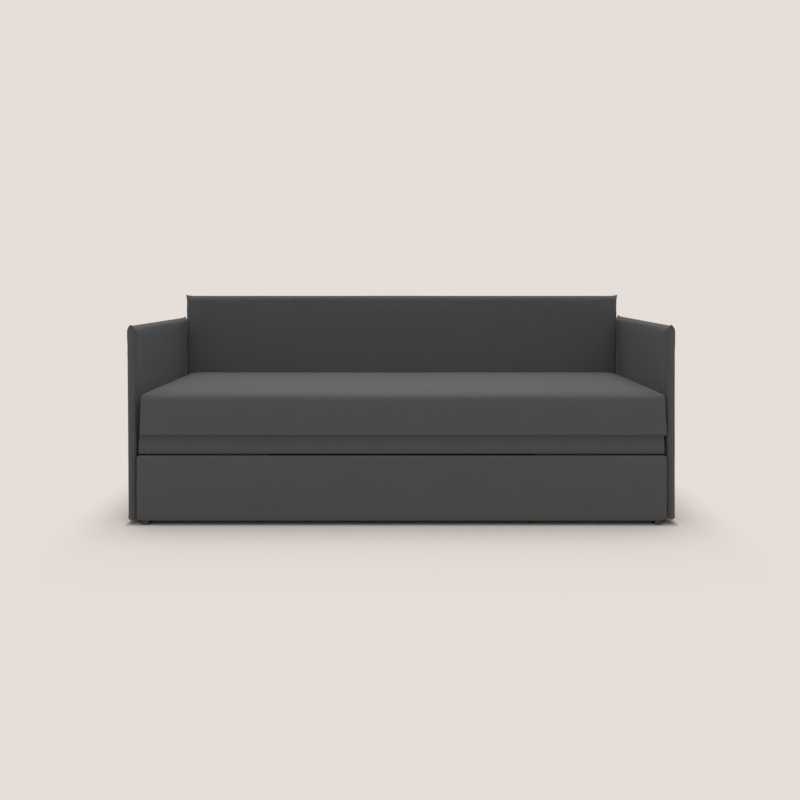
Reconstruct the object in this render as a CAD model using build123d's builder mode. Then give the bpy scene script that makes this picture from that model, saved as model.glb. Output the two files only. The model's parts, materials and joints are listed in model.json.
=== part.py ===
from build123d import *
from math import sqrt
import os

# A daybed that lifts into a bunk bed, in millimetres.
# The origin is on the floor, under the middle of the whole body.
# X runs along the bed, Y from the open front to the back, Z up.

# Overall size
body_length = 2080
body_depth = 900
back_top = 860
arm_top = 757
arm_bottom = 16
arm_overlap = 10
arm_thickness = 34
back_thickness = 35
back_bottom = 30
back_side_gap = 1
recess_depth = 37
ear_rise = 5

# Soft covers of the arms and the back
cover_padding = 8
side_roll = 17
top_roll = 24
bottom_roll = 5
board_setback = 18
cover_corner = 6
seam_corner = 1.5
cover_layer_shares = (0, 0.35, 0.65, 0.86, 0.97, 1)

# Front panel
panel_thickness = 20
panel_top = 258
panel_side_gap = 6
panel_corner = 19
panel_edge = 5
panel_padding = 6

# Bottom frame
foot_height = 15
foot_width = 22
foot_taper = 2
foot_inset = 38
foot_reach = 17
foot_setback = 5
mid_foot_radius = 11
frame_rail_bottom = 80
frame_rail_height = 30
frame_rail_width = 30
end_rail_width = 40
frame_wall = 2
upright_width = 50
upright_top = 252
end_rail_inset = 18
mid_leg_radius = 15
mid_leg_share = 0.5
bumper_radius = 10
bumper_inset = 36

# Slats of both beds
slat_count = 14
slat_width = 68
slat_thickness = 10
slat_field_gap = 25
slat_end_gap = 5
cap_length = 14
cap_wall = 3

# Mattresses
soft_gap = 0.3
mattress_side_gap = 13
mattress_front_setback = 1
mattress_back_gap = 12
mattress_bottom = 330
mattress_height = 162
mattress_crown = 12
mattress_corner = 13
mattress_roll = 17
mattress_end_roll = 10
mattress_bulge = 2
low_mattress_side_gap = 11
low_mattress_front_gap = 5
low_mattress_back_gap = 13
low_mattress_height = 121
low_mattress_crown = 3
mattress_level_shares = (0, 0.04, 0.12, 0.32, 0.74, 0.9, 0.97, 1)
mattress_inset_shares = (0.55, 0.25, 0.08, 0, 0.03, 0.24, 0.58, 1)
crown_inset_shares = (0.18, 0.36)
crown_rise_shares = (0.75, 1)

# Upper bed frame and its band
band_setback = 15
band_thickness = 12
band_bottom = 266
band_height = 62
band_side_gap = 6
band_padding = 6
band_edge = 4
bed_back_gap = 8
side_rail_height = 50
side_rail_width = 20
side_rail_wall = 1.5
end_beam_width = 30
end_beam_height = 25
end_beam_inset = 15
slat_level = 316.5

# Folding end frames: two posts each, hinged on the base, at the knee and on the bed
hinge_inset = 38
hinge_level = 260.5
leg_span = 440
front_post_inset = 50
rear_post_inset = 68
post_height = 25
lower_post_width = 30
upper_post_width = 24
post_wall = 2
fold_gap = 1
knee_setback = 12.3
butt_gap = 0.2
knee_plate_thickness = 3
plate_radius = 12
plate_margin = 1.5
plate_reach = 60
stop_spigot = 20
stop_clearance = 0.3
solid_end = 14
side_clearance = 0.1
bracket_clearance = 0.25
bracket_thickness = 3
pin_radius = 4
pin_clearance = 0.05
open_pivot_clearance = 0.3
pin_head_radius = 6.5
pin_head_thickness = 2
rung_size = 20
rung_wall = 2
lower_rung_shares = (0.205, 0.773)
upper_rung_shares = (0.09, 0.66)

# Spring bolts that lock the straightened knees
lock_radius = 3
lock_clearance = 0.1
lock_along = 8
lock_below = 14
lock_travel = 6
lock_plate_edge = 5
lock_barrel_radius = 7
lock_barrel_length = 11
lock_knob_radius = 6
lock_knob_length = 5
lock_end_gap = 0.3

# Bolts
bolt_radius = 4
bolt_clearance = 0.1
bolt_head_radius = 7
bolt_head_thickness = 4
bolt_depth = 12
low_arm_bolt_height = 60
high_arm_bolt_height = 220
low_back_bolt_height = 140
high_back_bolt_height = 190
back_bolt_inset = 10
panel_bolt_shares = (-0.8, -0.3, 0.3, 0.8)

# Guard rail, stowed behind the back
guard_length = 1500
guard_height = 391
guard_bottom = 330
guard_post_width = 25
guard_thickness = 6
guard_bar_height = 25
guard_bar_spacing = 180
guard_gap = 1
guard_foot_thickness = 5
guard_foot_margin = 5.5
guard_peg_radius = 4
guard_peg_height = 14
guard_peg_clearance = 0.3
guard_hole_setback = 5
hook_place_share = 0.57
hook_width = 30
hook_thickness = 4
hook_plate_height = 50
hook_lip = 11
hole_overrun = 1

# Places that follow from the sizes above
half_length = body_length / 2
front_y = -body_depth / 2
arm_inner = half_length - arm_thickness
arm_middle = half_length - arm_thickness / 2
frame_front = front_y + panel_thickness
back_rear = body_depth / 2 - recess_depth
frame_back = back_rear - back_thickness
back_middle = back_rear - back_thickness / 2
arm_front = frame_front - arm_overlap
panel_bottom = foot_height + soft_gap
band_front = front_y + band_setback
bed_front = band_front + band_thickness
bed_rear = frame_back - bed_back_gap
band_half = arm_inner - band_side_gap
back_half = arm_inner - back_side_gap
bed_half = band_half - band_thickness
mattress_front = front_y + mattress_front_setback
mattress_rear = frame_back - mattress_back_gap
mattress_half = arm_inner - mattress_side_gap
frame_rail_top = frame_rail_bottom + frame_rail_height
upright_inner = arm_inner - upright_width
front_upright = (frame_front, frame_front + frame_rail_width)
rear_upright = (frame_back - frame_rail_width, frame_back)
end_rail = (arm_inner - end_rail_inset - end_rail_width, arm_inner - end_rail_inset)
hinge_x = arm_inner - hinge_inset
knee_x = hinge_x - leg_span
post_bottom = hinge_level - post_height / 2
knee_level = hinge_level + post_height / 2 + fold_gap / 2
bed_hinge_level = knee_level + fold_gap / 2 + post_height / 2
upper_post_bottom = bed_hinge_level - post_height / 2
end_beam_bottom = upper_post_bottom + post_height + fold_gap
lower_half = lower_post_width / 2
upper_half = upper_post_width / 2
side_rail_bottom = upper_post_bottom
side_rail_lines = ((bed_front, bed_front + side_rail_width), (bed_rear - side_rail_width, bed_rear))
front_post_y = frame_front + front_post_inset
rear_post_y = frame_back - rear_post_inset
post_lines = (front_post_y, rear_post_y)
sides = ((-1, "left"), (1, "right"))
low_mattress_bottom = frame_rail_top + slat_thickness + soft_gap
low_mattress_half = hinge_x - plate_radius - low_mattress_side_gap
slat_field = 2 * (bed_half - end_beam_width - slat_field_gap)
arm_bolt_heights = (low_arm_bolt_height, high_arm_bolt_height)
back_bolt_heights = (low_back_bolt_height, high_back_bolt_height)

os.makedirs("parts", exist_ok=True)


def span(first, second):
    """The two ends in rising order."""
    return (min(first, second), max(first, second))


def block(x, y, z, mode=Mode.ADD):
    """A straight block between the given ends, in the part being built."""
    with Locations((sum(x) / 2, sum(y) / 2, sum(z) / 2)):
        Box(x[1] - x[0], y[1] - y[0], z[1] - z[0], mode=mode)


def tube(x, y, z, wall, axis=None):
    """A hollow section, cut open at both ends of its axis, or closed all round without one."""
    block(x, y, z)
    inner = [
        (low - hole_overrun, high + hole_overrun) if name == axis else (low + wall, high - wall)
        for name, (low, high) in zip("xyz", (x, y, z))
    ]
    block(*inner, mode=Mode.SUBTRACT)


def rod(start, direction, length, radius, mode=Mode.ADD):
    """A round bar from one point along a direction."""
    with BuildSketch(Plane(origin=start, z_dir=direction)) as end:
        Circle(radius)
    extrude(end.sketch, amount=length, mode=mode)


def drill(start, direction, length, radius):
    """A round hole that starts a little before one point and ends a little past its length."""
    begin = Vector(*start) - Vector(*direction) * hole_overrun
    rod(tuple(begin), direction, length + 2 * hole_overrun, radius, mode=Mode.SUBTRACT)


def save(piece, name):
    """Labels a finished piece and writes its file."""
    piece.part.label = name
    export_step(piece.part, f"parts/{name}.step")


def soft_section(plane, u, v, corner, bow):
    """A closed outline with rounded corners, whose sides bow outwards or sag inwards."""
    middle_u, middle_v = sum(u) / 2, sum(v) / 2
    cut = corner * (1 - sqrt(1 / 2))
    with BuildSketch(plane) as section:
        with BuildLine():
            ThreePointArc((u[0] + corner, v[0]), (middle_u, v[0] - bow), (u[1] - corner, v[0]))
            ThreePointArc((u[1] - corner, v[0]), (u[1] - cut, v[0] + cut), (u[1], v[0] + corner))
            ThreePointArc((u[1], v[0] + corner), (u[1] + bow, middle_v), (u[1], v[1] - corner))
            ThreePointArc((u[1], v[1] - corner), (u[1] - cut, v[1] - cut), (u[1] - corner, v[1]))
            ThreePointArc((u[1] - corner, v[1]), (middle_u, v[1] + bow), (u[0] + corner, v[1]))
            ThreePointArc((u[0] + corner, v[1]), (u[0] + cut, v[1] - cut), (u[0], v[1] - corner))
            ThreePointArc((u[0], v[1] - corner), (u[0] - bow, middle_v), (u[0], v[0] + corner))
            ThreePointArc((u[0], v[0] + corner), (u[0] + cut, v[0] + cut), (u[0] + corner, v[0]))
        make_face()
    return section.sketch


def knife_edge_half(plane, direction, half_thickness, u, v):
    """One face of a slim upholstered panel, from the seam in its middle to its flat side."""
    sections = []
    for layer in cover_layer_shares:
        inset_share = 1 - sqrt(1 - layer)
        inset = side_roll * inset_share
        corner = seam_corner + cover_corner * layer + inset / 2
        sag = ear_rise * (1 - layer) + soft_gap
        sections.append(
            soft_section(
                plane.offset(direction * layer * half_thickness),
                (u[0] + inset, u[1] - inset),
                (v[0] + bottom_roll * inset_share, v[1] - top_roll * inset_share),
                corner,
                -sag,
            )
        )
    loft(sections)


def cushion(x, y, bottom, height, crown):
    """A mattress with drawn-in edges and a crowned top."""
    sections = []
    for level, inset_share in zip(mattress_level_shares, mattress_inset_shares):
        end_inset = mattress_bulge + mattress_end_roll * inset_share
        inset = mattress_bulge + mattress_roll * inset_share
        sections.append(
            soft_section(
                Plane.XY.offset(bottom + height * level),
                (x[0] + end_inset, x[1] - end_inset),
                (y[0] + inset, y[1] - inset),
                mattress_corner + inset / 2,
                mattress_bulge,
            )
        )
    loft(sections)
    top = [sections[-1]]
    for inset_share, rise_share in zip(crown_inset_shares, crown_rise_shares):
        crown_reach = mattress_bulge + inset_share * (y[1] - y[0])
        top.append(
            soft_section(
                Plane.XY.offset(bottom + height + crown * rise_share),
                (x[0] + mattress_end_roll + crown_reach, x[1] - mattress_end_roll - crown_reach),
                (y[0] + mattress_roll + crown_reach, y[1] - mattress_roll - crown_reach),
                mattress_corner + mattress_roll,
                mattress_bulge,
            )
        )
    loft(top)


def bolt(start, direction, length):
    """A bolt whose head lies before its start and whose shank runs on from it."""
    rod(start, direction, length, bolt_radius)
    back_away = tuple(-part for part in direction)
    rod(start, back_away, bolt_head_thickness, bolt_head_radius)


# Where the bolts through the four corner uprights start
arm_bolt_places = [
    (sum(line) / 2, level) for line in (front_upright, rear_upright) for level in arm_bolt_heights
]
arm_board_x = (arm_inner + cover_padding, half_length - cover_padding)
arm_board_y = (arm_front + board_setback, body_depth / 2 - board_setback)
arm_board_z = (arm_bottom + board_setback, arm_top - board_setback)
arm_bolt_length = arm_board_x[0] + bolt_depth - upright_inner
back_bolt_x = upright_inner + back_bolt_inset
back_board_y = (frame_back + cover_padding, back_rear - cover_padding)
back_bolt_length = back_board_y[0] + bolt_depth - rear_upright[0]
hole_radius = bolt_radius + bolt_clearance


def drill_arm_bolts(side):
    """Clears the arm's four bolts, from the inside of the uprights outwards."""
    for y, z in arm_bolt_places:
        drill((side * upright_inner, y, z), (side, 0, 0), arm_bolt_length, hole_radius)


def drill_back_bolts():
    """Clears the back's four bolts, from the inside of the rear uprights backwards."""
    for side in (-1, 1):
        for z in back_bolt_heights:
            drill((side * back_bolt_x, rear_upright[0], z), (0, 1, 0), back_bolt_length, hole_radius)


# Arms: a board inside a soft cover with a seam all round its edge
for side, word in sides:
    with BuildPart() as arm_board:
        block(span(side * arm_board_x[0], side * arm_board_x[1]), arm_board_y, arm_board_z)
        fillet(arm_board.edges().filter_by(Axis.X), cover_corner)
    with BuildPart() as arm_cover:
        for outward in (-1, 1):
            knife_edge_half(
                Plane.YZ.offset(side * arm_middle),
                outward,
                arm_thickness / 2,
                (arm_front, body_depth / 2),
                (arm_bottom, arm_top),
            )
        add(arm_board.part, mode=Mode.SUBTRACT)
        drill_arm_bolts(side)
    save(arm_cover, f"arm_cover_{word}")

    with BuildPart() as drilled_arm_board:
        add(arm_board.part)
        drill_arm_bolts(side)
    save(drilled_arm_board, f"arm_board_{word}")

    with BuildPart() as arm_bolts:
        for y, z in arm_bolt_places:
            bolt((side * upright_inner, y, z), (side, 0, 0), arm_bolt_length)
    save(arm_bolts, f"arm_bolts_{word}")

# Back: the same build, between the arms and in front of the recess
with BuildPart() as back_blank:
    board_half = back_half - board_setback
    block((-board_half, board_half), back_board_y, (back_bottom + board_setback, back_top - board_setback))
    fillet(back_blank.edges().filter_by(Axis.Y), cover_corner)

with BuildPart() as back_cover:
    for toward in (-1, 1):
        knife_edge_half(
            Plane.XZ.offset(-back_middle),
            toward,
            back_thickness / 2,
            (-back_half, back_half),
            (back_bottom, back_top),
        )
    add(back_blank.part, mode=Mode.SUBTRACT)
    drill_back_bolts()
save(back_cover, "back_cover")

with BuildPart() as back_board:
    add(back_blank.part)
    drill_back_bolts()
save(back_board, "back_board")

with BuildPart() as back_bolts:
    for side in (-1, 1):
        for z in back_bolt_heights:
            bolt((side * back_bolt_x, rear_upright[0], z), (0, 1, 0), back_bolt_length)
save(back_bolts, "back_bolts")


# Front panel: a padded board with rounded lower corners
panel_half = arm_inner - panel_side_gap
panel_bolt_places = [panel_half * share for share in panel_bolt_shares]


def panel_outline(inset, depth):
    """The panel's front shape, drawn in by an inset and made as thick as asked."""
    bottom, top = panel_bottom + inset, panel_top - inset
    with BuildSketch(Plane.XZ.offset(-frame_front)) as shape:
        with Locations((0, (bottom + top) / 2)):
            Rectangle(2 * (panel_half - inset), top - bottom)
        fillet(shape.vertices().group_by(Axis.Y)[0], panel_corner - inset)
        fillet(shape.vertices().group_by(Axis.Y)[-1], panel_edge)
    extrude(shape.sketch, amount=depth)


def drill_panel_bolts():
    """Clears the bolts from behind the front rail into the panel's board."""
    for x in panel_bolt_places:
        start = (x, front_upright[1], frame_rail_bottom + frame_rail_height / 2)
        drill(start, (0, -1, 0), panel_bolt_length, hole_radius)


panel_bolt_length = frame_rail_width + bolt_depth
with BuildPart() as panel_blank:
    panel_outline(panel_padding, panel_thickness - panel_padding)

with BuildPart() as panel_board:
    add(panel_blank.part)
    drill_panel_bolts()
save(panel_board, "front_panel_board")

with BuildPart() as panel_cover:
    panel_outline(0, panel_thickness)
    fillet(panel_cover.faces().sort_by(Axis.Y)[0].edges(), panel_edge - soft_gap)
    add(panel_blank.part, mode=Mode.SUBTRACT)
save(panel_cover, "front_panel_cover")

with BuildPart() as panel_bolts:
    for x in panel_bolt_places:
        start = (x, front_upright[1], frame_rail_bottom + frame_rail_height / 2)
        bolt(start, (0, -1, 0), panel_bolt_length)
save(panel_bolts, "front_panel_bolts")

# Bottom frame: two long rails, two end rails, a middle rail and four uprights
frame_rail_z = (frame_rail_bottom, frame_rail_top)
with BuildPart() as base_long_rails:
    for line in (front_upright, rear_upright):
        tube((-upright_inner, upright_inner), line, frame_rail_z, frame_wall, "x")
    drill_panel_bolts()
save(base_long_rails, "base_long_rails")

with BuildPart() as base_end_rails:
    for side, word in sides:
        x = span(side * end_rail[0], side * end_rail[1])
        tube(x, (front_upright[1], rear_upright[0]), frame_rail_z, frame_wall, "y")
save(base_end_rails, "base_end_rails")

middle_y = (front_post_y + rear_post_y) / 2
with BuildPart() as base_middle_rail:
    y = (middle_y - frame_rail_width / 2, middle_y + frame_rail_width / 2)
    tube((-end_rail[0], end_rail[0]), y, frame_rail_z, frame_wall, "x")
save(base_middle_rail, "base_middle_rail")

with BuildPart() as corner_uprights:
    for side, word in sides:
        for line in (front_upright, rear_upright):
            x = span(side * upright_inner, side * arm_inner)
            tube(x, line, (foot_height, upright_top), frame_wall)
        drill_arm_bolts(side)
    drill_back_bolts()
save(corner_uprights, "corner_uprights")

# Feet: long ones under the uprights, which reach out under the panel and the back, and two round ones
corner_foot_x = (arm_inner - foot_inset - foot_width / 2, arm_inner - foot_inset + foot_width / 2)
corner_foot_lines = (
    (front_upright[0] - foot_reach, front_upright[1] - foot_setback),
    (rear_upright[0] + foot_setback, rear_upright[1] + foot_reach),
)
mid_leg_places = [(side * mid_leg_share * upright_inner, middle_y) for side in (-1, 1)]
with BuildPart() as feet:
    for side in (-1, 1):
        for line in corner_foot_lines:
            block(span(side * corner_foot_x[0], side * corner_foot_x[1]), line, (0, foot_height))
    for x, y in mid_leg_places:
        rod((x, y, 0), (0, 0, 1), foot_height, mid_foot_radius)
    chamfer(feet.edges().group_by(Axis.Z)[0], foot_taper)
save(feet, "feet")

with BuildPart() as middle_legs:
    for x, y in mid_leg_places:
        rod((x, y, foot_height), (0, 0, 1), frame_rail_bottom - foot_height, mid_leg_radius)
save(middle_legs, "middle_legs")

with BuildPart() as rest_bumpers:
    for side, word in sides:
        for line in side_rail_lines:
            start = (side * (arm_inner - bumper_inset), sum(line) / 2, upright_top)
            rod(start, (0, 0, 1), side_rail_bottom - soft_gap - upright_top, bumper_radius)
save(rest_bumpers, "rest_bumpers")

# Slats, shared by both beds
slat_pitch = (slat_field - slat_width) / (slat_count - 1)
slat_middles = [slat_pitch * (number - (slat_count - 1) / 2) for number in range(slat_count)]


def slat_row(y, bottom, margin=0):
    """One block for each slat, widened all round by a margin."""
    reach = slat_width / 2 + margin
    for x in slat_middles:
        block((x - reach, x + reach), y, (bottom - margin, bottom + slat_thickness + margin))


with BuildPart() as lower_slats:
    slat_row((front_upright[0] + slat_end_gap, rear_upright[1] - slat_end_gap), frame_rail_top)
save(lower_slats, "lower_slats")

with BuildPart() as lower_mattress:
    cushion(
        (-low_mattress_half, low_mattress_half),
        (frame_front + low_mattress_front_gap, frame_back - low_mattress_back_gap),
        low_mattress_bottom,
        low_mattress_height,
        low_mattress_crown,
    )
save(lower_mattress, "lower_mattress")


# Hinge plates and pins
def lobed_plate(x, z, run, y):
    """A flat plate with a round lobe about a pivot and a straight part between given limits."""
    (x_run, z_run) = run
    with BuildSketch(Plane.XZ.offset(-y[0])) as shape:
        with Locations((x, z)):
            Circle(plate_radius)
        with Locations((sum(x_run) / 2, sum(z_run) / 2)):
            Rectangle(x_run[1] - x_run[0], z_run[1] - z_run[0])
    extrude(shape.sketch, amount=y[0] - y[1])


def cross_pin(x, z, y, heads):
    """A pin along Y with a flat head at each named end."""
    rod((x, y[0], z), (0, 1, 0), y[1] - y[0], pin_radius)
    if "front" in heads:
        rod((x, y[0], z), (0, -1, 0), pin_head_thickness, pin_head_radius)
    if "back" in heads:
        rod((x, y[1], z), (0, 1, 0), pin_head_thickness, pin_head_radius)


bracket_inner = lower_half + bracket_clearance
bracket_outer = bracket_inner + bracket_thickness
bed_plate_inner = upper_half + side_clearance
bed_plate_outer = lower_half - side_clearance
knee_plate_outer = lower_half + knee_plate_thickness
hinge_hole = pin_radius + pin_clearance

with BuildPart() as base_brackets:
    for side, word in sides:
        x = side * hinge_x
        run = ((x - plate_radius, x + plate_radius), (frame_rail_top, hinge_level))
        for line in post_lines:
            lobed_plate(x, hinge_level, run, (line - bracket_outer, line - bracket_inner))
            lobed_plate(x, hinge_level, run, (line + bracket_inner, line + bracket_outer))
        drill((x, front_post_y - bracket_outer, hinge_level), (0, 1, 0),
              rear_post_y - front_post_y + 2 * bracket_outer, hinge_hole)
save(base_brackets, "base_brackets")

with BuildPart() as base_pins:
    for side, word in sides:
        for line in post_lines:
            cross_pin(side * hinge_x, hinge_level, (line - bracket_outer, line + bracket_outer), "front back")
save(base_pins, "base_pins")


# Folding end frames, each drawn at rest: the lower half lies under the upper half
class EndFrame:
    """Places along one end frame, measured from its base hinge towards the middle of the bed."""

    def __init__(self, side):
        self.side = side

    def x(self, along):
        return self.side * (hinge_x - along)

    def run(self, start, end):
        return span(self.x(start), self.x(end))


lower_post_z = (post_bottom, post_bottom + post_height)
upper_post_z = (upper_post_bottom, upper_post_bottom + post_height)
lower_end = leg_span - knee_setback
upper_end = leg_span - butt_gap
lock_place = (leg_span + lock_along, knee_level - lock_below)
lock_socket = (leg_span - lock_along, knee_level + lock_below)
lock_face = front_post_y - knee_plate_outer
socket_depth = knee_plate_thickness + post_wall + lock_end_gap


def post_row(frame, z, end, half_width):
    """Two hollow posts, solid and rounded at the hinge end and open at the knee end."""
    middle = sum(z) / 2
    for line in post_lines:
        with BuildSketch(Plane.XZ.offset(-line)) as profile:
            with Locations((frame.x(0), middle)):
                Circle(post_height / 2)
            with Locations((sum(frame.run(0, end)) / 2, middle)):
                Rectangle(end, post_height)
        extrude(profile.sketch, amount=half_width, both=True)
        hollow = half_width - post_wall
        block(frame.run(solid_end, end + hole_overrun), (line - hollow, line + hollow),
              (z[0] + post_wall, z[1] - post_wall), Mode.SUBTRACT)


def rung_row(frame, places, level, half_width):
    """Hollow treads between the two posts."""
    for place in places:
        tube(
            frame.run(place - rung_size / 2, place + rung_size / 2),
            (front_post_y + half_width, rear_post_y - half_width),
            (level - rung_size / 2, level + rung_size / 2),
            rung_wall,
            "y",
        )


lower_rung_places = [leg_span * share for share in lower_rung_shares]
upper_rung_places = [leg_span * share for share in upper_rung_shares]
post_span = rear_post_y - front_post_y

for side, word in sides:
    frame = EndFrame(side)
    bed_hinge_hole = hinge_hole if side < 0 else pin_radius + open_pivot_clearance

    with BuildPart() as lower_posts:
        post_row(frame, lower_post_z, lower_end, lower_half)
        start = (frame.x(0), front_post_y - lower_half, hinge_level)
        drill(start, (0, 1, 0), post_span + lower_post_width, hinge_hole)
    save(lower_posts, f"lower_posts_{word}")

    with BuildPart() as lower_rungs:
        rung_row(frame, lower_rung_places, hinge_level, lower_half)
    save(lower_rungs, f"lower_rungs_{word}")

    with BuildPart() as knee_stops:
        for line in post_lines:
            reach = upper_half - stop_clearance
            block(frame.run(lower_end, leg_span - butt_gap), (line - reach, line + reach), lower_post_z)
            reach = lower_half - post_wall
            block(frame.run(lower_end - stop_spigot, lower_end), (line - reach, line + reach),
                  (lower_post_z[0] + post_wall, lower_post_z[1] - post_wall))
    save(knee_stops, f"knee_stops_{word}")

    with BuildPart() as lower_knee_plates:
        far = leg_span + lock_along + lock_radius + lock_plate_edge
        run = (frame.run(leg_span - plate_reach, far),
               (lower_post_z[0] + plate_margin, lower_post_z[1] - plate_margin))
        for line in post_lines:
            lobed_plate(frame.x(leg_span), knee_level, run, (line - knee_plate_outer, line - lower_half))
            lobed_plate(frame.x(leg_span), knee_level, run, (line + lower_half, line + knee_plate_outer))
        start = (frame.x(leg_span), front_post_y - knee_plate_outer, knee_level)
        drill(start, (0, 1, 0), post_span + 2 * knee_plate_outer, hinge_hole)
        start = (frame.x(lock_place[0]), lock_face, lock_place[1])
        drill(start, (0, 1, 0), knee_plate_thickness, lock_radius + lock_clearance)
    save(lower_knee_plates, f"lower_knee_plates_{word}")

    with BuildPart() as knee_pins:
        for line in post_lines:
            inner, outer = upper_half + side_clearance, knee_plate_outer
            cross_pin(frame.x(leg_span), knee_level, (line - outer, line - inner), "front")
            cross_pin(frame.x(leg_span), knee_level, (line + inner, line + outer), "back")
    save(knee_pins, f"knee_pins_{word}")

    with BuildPart() as upper_posts:
        post_row(frame, upper_post_z, upper_end, upper_half)
        start = (frame.x(0), front_post_y - upper_half, bed_hinge_level)
        drill(start, (0, 1, 0), post_span + upper_post_width, bed_hinge_hole)
        start = (frame.x(lock_socket[0]), lock_face, lock_socket[1])
        drill(start, (0, 1, 0), knee_plate_thickness + socket_depth, lock_radius + lock_clearance)
        for line in post_lines:
            rod((frame.x(leg_span), line - upper_half, knee_level), (0, 1, 0), upper_post_width,
                hinge_hole, Mode.SUBTRACT)
    save(upper_posts, f"upper_posts_{word}")

    with BuildPart() as upper_rungs:
        rung_row(frame, upper_rung_places, bed_hinge_level, upper_half)
    save(upper_rungs, f"upper_rungs_{word}")

    with BuildPart() as upper_knee_plates:
        run = (frame.run(leg_span - plate_reach, upper_end),
               (upper_post_z[0] + plate_margin, upper_post_z[1] - plate_margin))
        for line in post_lines:
            lobed_plate(frame.x(leg_span), knee_level, run, (line - bed_plate_outer, line - upper_half))
            lobed_plate(frame.x(leg_span), knee_level, run, (line + upper_half, line + bed_plate_outer))
        start = (frame.x(leg_span), front_post_y - bed_plate_outer, knee_level)
        drill(start, (0, 1, 0), post_span + 2 * bed_plate_outer, hinge_hole)
        start = (frame.x(lock_socket[0]), lock_face, lock_socket[1])
        drill(start, (0, 1, 0), knee_plate_thickness + socket_depth, lock_radius + lock_clearance)
    save(upper_knee_plates, f"upper_knee_plates_{word}")

    with BuildPart() as lock_barrel:
        start = (frame.x(lock_place[0]), lock_face, lock_place[1])
        rod(start, (0, -1, 0), lock_barrel_length, lock_barrel_radius)
        drill(start, (0, -1, 0), lock_barrel_length, lock_radius + lock_clearance)
    save(lock_barrel, f"lock_barrel_{word}")

    with BuildPart() as lock_bolt:
        knob_face = lock_face - lock_barrel_length - lock_travel - lock_end_gap
        tip = lock_face + knee_plate_thickness - lock_end_gap
        start = (frame.x(lock_place[0]), knob_face, lock_place[1])
        rod(start, (0, 1, 0), tip - knob_face, lock_radius)
        rod(start, (0, -1, 0), lock_knob_length, lock_knob_radius)
    save(lock_bolt, f"lock_bolt_{word}")

# Upper bed frame
side_rail_z = (side_rail_bottom, side_rail_bottom + side_rail_height)
end_beam_z = (end_beam_bottom, end_beam_bottom + end_beam_height)
end_beam_x = (bed_half - end_beam_width, bed_half)
inner_rail_y = (side_rail_lines[0][1], side_rail_lines[1][0])
guard_post_x = (guard_length - guard_post_width) / 2
guard_places = (-guard_post_x, 0, guard_post_x)

with BuildPart() as bed_side_rails:
    for line in side_rail_lines:
        tube((-bed_half, bed_half), line, side_rail_z, side_rail_wall, "x")
    for x in guard_places:
        start = (x, bed_front + guard_hole_setback, side_rail_bottom)
        drill(start, (0, 0, 1), side_rail_wall, guard_peg_radius + guard_peg_clearance)
save(bed_side_rails, "bed_side_rails")

with BuildPart() as bed_end_beams:
    for side, word in sides:
        x = span(side * end_beam_x[0], side * end_beam_x[1])
        tube(x, inner_rail_y, end_beam_z, frame_wall, "y")
save(bed_end_beams, "bed_end_beams")

with BuildPart() as bed_hinge_plates:
    for side, word in sides:
        x = side * hinge_x
        run = ((x - plate_radius, x + plate_radius), (bed_hinge_level, end_beam_bottom))
        for line in post_lines:
            lobed_plate(x, bed_hinge_level, run, (line - bed_plate_outer, line - bed_plate_inner))
            lobed_plate(x, bed_hinge_level, run, (line + bed_plate_inner, line + bed_plate_outer))
        drill((x, front_post_y - bed_plate_outer, bed_hinge_level), (0, 1, 0),
              post_span + 2 * bed_plate_outer, hinge_hole)
save(bed_hinge_plates, "bed_hinge_plates")

with BuildPart() as bed_pins:
    for side, word in sides:
        for line in post_lines:
            ends = (line - bed_plate_outer, line + bed_plate_outer)
            cross_pin(side * hinge_x, bed_hinge_level, ends, "front back")
save(bed_pins, "bed_pins")

upper_slat_y = (inner_rail_y[0] + cap_wall, inner_rail_y[1] - cap_wall)
with BuildPart() as upper_slats:
    slat_row(upper_slat_y, slat_level)
save(upper_slats, "upper_slats")

with BuildPart() as slat_caps:
    slat_row((inner_rail_y[0], inner_rail_y[0] + cap_length), slat_level, cap_wall)
    slat_row((inner_rail_y[1] - cap_length, inner_rail_y[1]), slat_level, cap_wall)
    add(upper_slats.part, mode=Mode.SUBTRACT)
save(slat_caps, "slat_caps")

# Band round the upper bed: a padded board on the front and one on each end
band_z = (band_bottom, band_bottom + band_height)
band_board_z = (band_z[0] + band_padding, band_z[1] - band_padding)
front_band = ((-band_half, band_half), (band_front, bed_front), band_z)
front_band_board = (
    (-band_half + band_padding, band_half - band_padding),
    (band_front + band_padding, bed_front),
    band_board_z,
)
end_band_y = (bed_front + soft_gap, bed_rear)
end_board_y = (end_band_y[0] + band_padding, end_band_y[1] - band_padding)

with BuildPart() as band_boards:
    block(*front_band_board)
    for side, word in sides:
        x = span(side * bed_half, side * (band_half - band_padding))
        block(x, end_board_y, band_board_z)
save(band_boards, "band_boards")

with BuildPart() as band_front_cover:
    block(*front_band)
    fillet(band_front_cover.faces().sort_by(Axis.Y)[0].edges(), band_edge)
    block(*front_band_board, Mode.SUBTRACT)
save(band_front_cover, "band_front_cover")

for side, word in sides:
    with BuildPart() as band_end_cover:
        block(span(side * bed_half, side * band_half), end_band_y, band_z)
        outer_face = band_end_cover.faces().sort_by(Axis.X)[-1 if side > 0 else 0]
        fillet(outer_face.edges(), band_edge)
        board = span(side * bed_half, side * (band_half - band_padding))
        block(board, end_board_y, band_board_z, Mode.SUBTRACT)
    save(band_end_cover, f"band_end_cover_{word}")

with BuildPart() as upper_mattress:
    cushion(
        (-mattress_half, mattress_half),
        (mattress_front, mattress_rear),
        mattress_bottom,
        mattress_height,
        mattress_crown,
    )
save(upper_mattress, "upper_mattress")

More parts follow.
